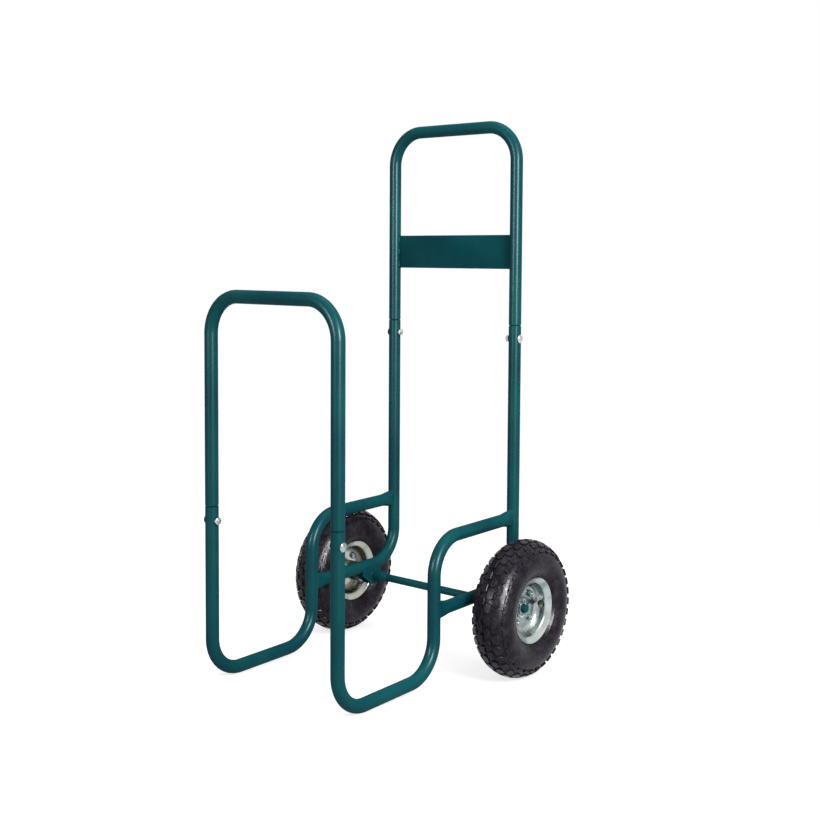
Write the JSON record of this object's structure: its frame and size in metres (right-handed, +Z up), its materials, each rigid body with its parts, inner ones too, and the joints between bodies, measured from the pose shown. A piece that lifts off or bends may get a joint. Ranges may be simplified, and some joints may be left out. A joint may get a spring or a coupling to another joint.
{
  "type": "fireside log cart",
  "caption": "Wheeled log cart with bent tube side frames forming a log well, a plug-in front hoop, a tall handle hoop with a cross plate, and pneumatic wheels on a through axle.",
  "frame": {"origin": "middle of the bounding box at ground level, between the two side frames", "axes": "+X to the right as seen from behind the handle, +Y back from the front hoop to the handle, +Z up"},
  "size_m": [0.554, 0.6454, 1.1119],
  "materials": {
    "enamel": "gloss",
    "zinc": "satin",
    "zinc_yellow": "satin",
    "bearing_steel": "satin",
    "tyre": "matte",
    "soft_rubber": "matte"
  },
  "bodies": {
    "frame": {"front_hoop": "enamel", "handle_hoop": "enamel", "handle_plate": "enamel", "side_tube_left": "enamel", "side_tube_right": "enamel", "rear_post_left": "enamel", "rear_post_right": "enamel", "front_joint_bolts": "zinc", "front_joint_nuts": "zinc", "rear_joint_bolts": "zinc", "rear_joint_nuts": "zinc", "axle_bar": "enamel", "axle_bracket_left": "enamel", "axle_bracket_right": "enamel", "axle_collar_left": "enamel", "axle_collar_right": "enamel", "axle_spacer_left": "enamel", "axle_spacer_right": "enamel", "inner_washer_left": "zinc", "inner_washer_right": "zinc", "outer_washer_left": "zinc", "outer_washer_right": "zinc", "split_pin_left": "zinc", "split_pin_right": "zinc", "bearing_inners_left": "bearing_steel", "bearing_inners_right": "bearing_steel"},
    "wheel_left": {"tyre_left": "tyre", "inner_tube_left": "soft_rubber", "rim_outer_left": "zinc", "rim_inner_left": "zinc_yellow", "hub_tube_left": "zinc", "bearing_outers_left": "bearing_steel", "bearing_balls_left": "bearing_steel", "rim_bolts_left": "zinc", "rim_nuts_left": "zinc", "valve_stem_left": "soft_rubber", "valve_cap_left": "soft_rubber"},
    "wheel_right": {"tyre_right": "tyre", "inner_tube_right": "soft_rubber", "rim_outer_right": "zinc", "rim_inner_right": "zinc_yellow", "hub_tube_right": "zinc", "bearing_outers_right": "bearing_steel", "bearing_balls_right": "bearing_steel", "rim_bolts_right": "zinc", "rim_nuts_right": "zinc", "valve_stem_right": "soft_rubber", "valve_cap_right": "soft_rubber"}
  },
  "joints": [
    {"name": "wheel_left_spin", "type": "hinge", "parent": "frame", "child": "wheel_left", "pos_m": [-0.235, 0.18671, 0.136], "axis": [1, 0, 0], "continuous": true},
    {"name": "wheel_right_spin", "type": "hinge", "parent": "frame", "child": "wheel_right", "pos_m": [0.235, 0.18671, 0.136], "axis": [1, 0, 0], "continuous": true}
  ]
}
